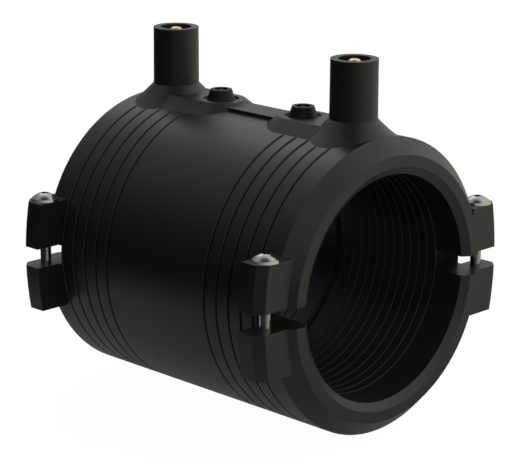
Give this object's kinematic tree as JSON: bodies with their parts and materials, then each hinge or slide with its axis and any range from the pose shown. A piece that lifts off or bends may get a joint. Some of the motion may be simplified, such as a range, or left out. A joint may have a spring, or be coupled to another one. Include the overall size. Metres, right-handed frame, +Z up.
{
  "type": "electrofusion coupler",
  "caption": "Black polyethylene electrofusion coupler with a wire-wound socket at each end, shrouded terminals, fusion indicators and screw clamp lugs.",
  "frame": {"origin": "on the pipe axis at mid-length, in the middle of the centre stop", "axes": "+X along the pipe axis out of the front socket, +Z up along the terminals, -Y to the left clamp lugs"},
  "size_m": [0.0996, 0.0984, 0.1032],
  "materials": {
    "black_pe": "moulded, satin with a fine grain",
    "heating_wire": "drawn resistance wire under a skin of black polyethylene",
    "contact_brass": "turned, bright",
    "collar_black": "moulded, satin",
    "riser_black": "moulded, satin",
    "screw_steel": "zinc plated, bright"
  },
  "bodies": {
    "root": {"coupler_body": "black_pe", "heating_wire_front": "heating_wire", "contact_pin_front": "contact_brass", "indicator_collar_front": "collar_black", "indicator_riser_front": "riser_black", "clamp_screw_front_left": "screw_steel", "clamp_screw_front_right": "screw_steel", "heating_wire_rear": "heating_wire", "contact_pin_rear": "contact_brass", "indicator_collar_rear": "collar_black", "indicator_riser_rear": "riser_black", "clamp_screw_rear_left": "screw_steel", "clamp_screw_rear_right": "screw_steel"}
  },
  "joints": []
}
